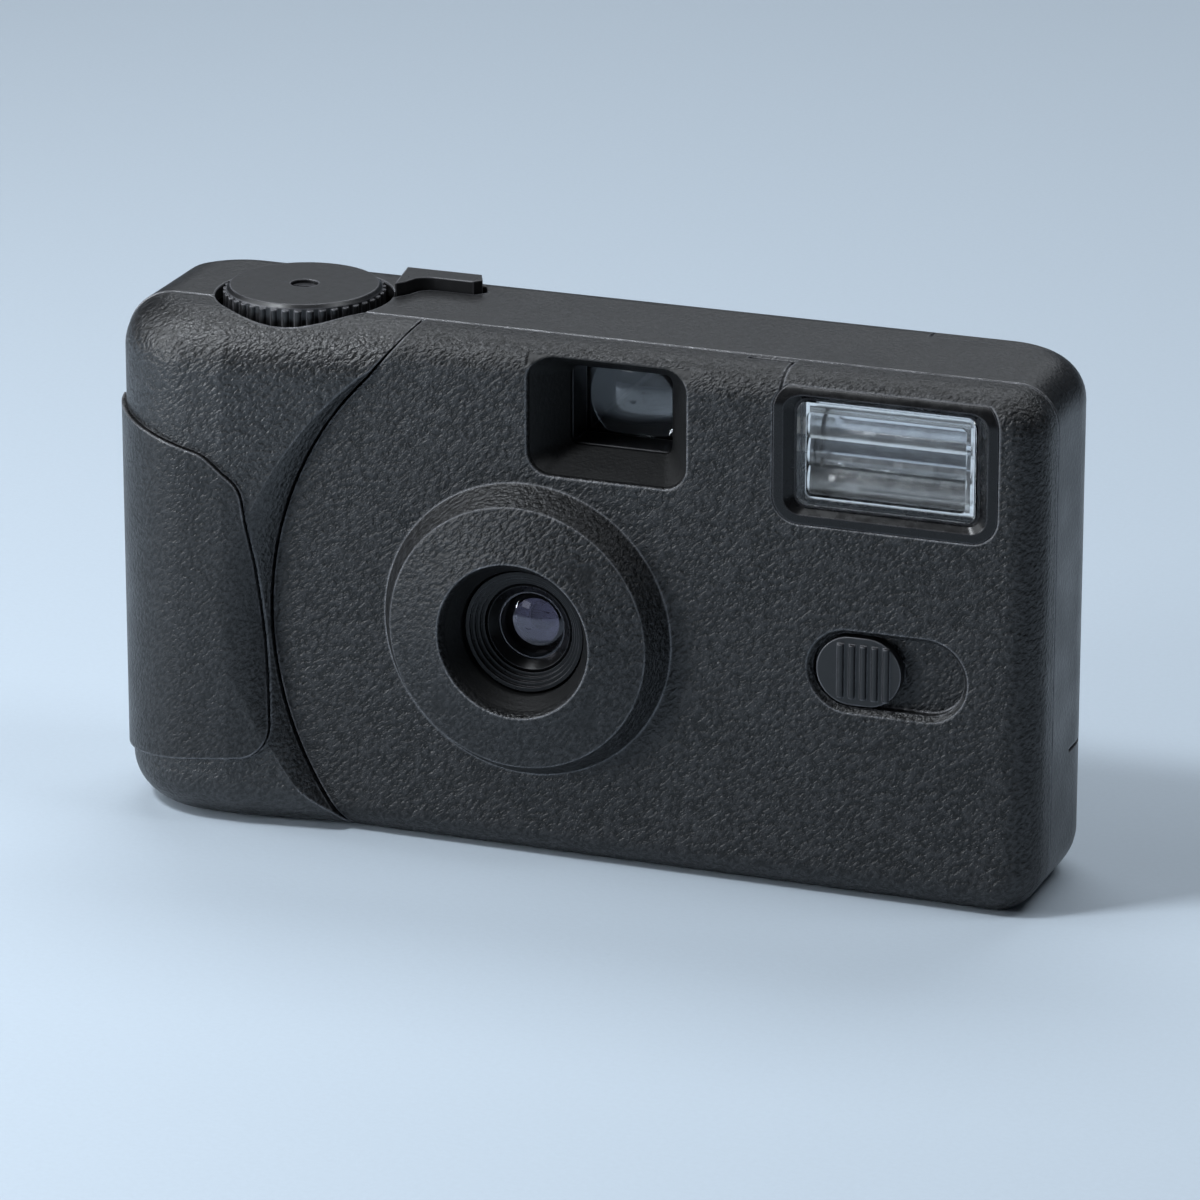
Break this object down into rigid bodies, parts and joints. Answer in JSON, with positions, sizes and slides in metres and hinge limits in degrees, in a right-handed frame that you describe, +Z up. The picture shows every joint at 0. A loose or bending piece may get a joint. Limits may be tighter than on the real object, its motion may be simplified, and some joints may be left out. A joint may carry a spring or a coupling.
{
  "type": "disposable film camera",
  "caption": "Compact disposable film camera with a moulded grip, thumb advance wheel, release lever, recessed lens, viewfinder, ribbed flash and sliding flash switch",
  "frame": {"origin": "centre of the bounding box's footprint, on the base plane", "axes": "+X to the right as seen from the front, +Y from the lens to the back, +Z up"},
  "size_m": [0.118, 0.0316, 0.0655],
  "materials": {
    "cover_plastic": "fine grained moulding",
    "pad_plastic": "soft fine texture",
    "trim_plastic": "smooth, half gloss",
    "inner_plastic": "matt black moulding",
    "lens_glass": "clear, lightly coated",
    "clear_plastic": "clear ribbed moulding",
    "tube_glass": "clear tube",
    "bright_metal": "bright reflector",
    "thin_metal": "blackened sheet",
    "steel": "plain steel",
    "white_plastic": "natural white moulding",
    "film_base": "brown film",
    "cassette_metal": "plain dark paint",
    "board_laminate": "green laminate",
    "component_sleeve": "plain sleeve",
    "contact_metal": "plain contact strip",
    "lamp_plastic": "tinted lamp",
    "battery_sleeve": "plain sleeve"
  },
  "bodies": {
    "camera_body": {"front_cover": "cover_plastic", "grip_cover": "cover_plastic", "grip_pad": "pad_plastic", "rear_cover": "cover_plastic", "main_frame": "inner_plastic", "lens_barrel": "inner_plastic", "lens_ring": "inner_plastic", "taking_lens": "lens_glass", "aperture_plate": "thin_metal", "shutter_pin": "steel", "shutter_spring": "steel", "release_pin": "steel", "release_spring": "steel", "striker_pin": "steel", "wheel_pawl": "steel", "cassette_shell": "cassette_metal", "cassette_caps": "inner_plastic", "film_strip": "film_base", "counter_window": "clear_plastic", "pressure_plate": "inner_plastic", "viewfinder_lens": "lens_glass", "viewfinder_frame": "inner_plastic", "viewfinder_eyepiece": "lens_glass", "flash_bezel": "trim_plastic", "flash_window": "clear_plastic", "flash_reflector": "bright_metal", "flash_tube": "tube_glass", "switch_contacts": "contact_metal", "circuit_board": "board_laminate", "capacitor": "component_sleeve", "transformer": "component_sleeve", "ready_lamp": "lamp_plastic", "battery": "battery_sleeve", "battery_contact_plus": "steel", "battery_contact_minus": "steel"},
    "advance_wheel_body": {"advance_wheel": "trim_plastic", "wheel_shaft": "steel", "wheel_screw": "steel"},
    "take_up_spool": {"spool_gear": "white_plastic", "cassette_spool": "inner_plastic"},
    "film_sprocket": {"sprocket": "white_plastic"},
    "supply_roll": {"film_roll": "film_base", "supply_spool": "inner_plastic"},
    "counter": {"counter_drum": "white_plastic"},
    "release": {"release_lever": "trim_plastic"},
    "striker_arm": {"striker": "inner_plastic"},
    "shutter": {"shutter_blade": "thin_metal"},
    "flash_slider": {"flash_switch": "trim_plastic"}
  },
  "joints": [
    {"name": "wheel_turn", "type": "hinge", "parent": "camera_body", "child": "advance_wheel_body", "pos_m": [-0.0372, 0.0003, 0.0625], "axis": [0, 0, 1], "continuous": true},
    {"name": "spool_turn", "type": "hinge", "parent": "camera_body", "child": "take_up_spool", "pos_m": [-0.0442, 0.00155, 0.0289], "axis": [0, 0, 1], "continuous": true},
    {"name": "sprocket_turn", "type": "hinge", "parent": "camera_body", "child": "film_sprocket", "pos_m": [0.0186, 0.00655, 0.044], "axis": [0, 0, 1], "continuous": true},
    {"name": "supply_turn", "type": "hinge", "parent": "camera_body", "child": "supply_roll", "pos_m": [0.03565, 0.0051, 0.0289], "axis": [0, 0, 1], "continuous": true},
    {"name": "counter_turn", "type": "hinge", "parent": "camera_body", "child": "counter", "pos_m": [0.0295, 0.0062, 0.053], "axis": [0, 0, 1], "continuous": true},
    {"name": "release_press", "type": "hinge", "parent": "camera_body", "child": "release", "pos_m": [-0.0264, 0.007, 0.0612], "axis": [0, 1, 0], "range_deg": [0, 6], "stiffness_Nm_per_rad": 0.05, "springref_deg": -5.73, "deforming": ["release_spring"]},
    {"name": "striker_swing", "type": "hinge", "parent": "camera_body", "child": "striker_arm", "pos_m": [-0.0131, 0.0035, 0.0536], "axis": [0, 1, 0], "range_deg": [-6.4, 0]},
    {"name": "shutter_swing", "type": "hinge", "parent": "camera_body", "child": "shutter", "pos_m": [-0.0094, -0.00475, 0.0419], "axis": [0, 1, 0], "range_deg": [0, 18]},
    {"name": "flash_switch_slide", "type": "slide", "parent": "camera_body", "child": "flash_slider", "axis": [1, 0, 0], "range_m": [0, 0.0068]}
  ],
  "couplings": [
    {"joint": "spool_turn", "follows": "wheel_turn", "ratio": -1},
    {"joint": "sprocket_turn", "follows": "wheel_turn", "ratio": -0.9094},
    {"joint": "supply_turn", "follows": "wheel_turn", "ratio": -0.7143},
    {"joint": "counter_turn", "follows": "wheel_turn", "ratio": 0.0303},
    {"joint": "striker_swing", "follows": "release_press", "ratio": -1.046},
    {"joint": "shutter_swing", "follows": "release_press", "ratio": 3}
  ]
}
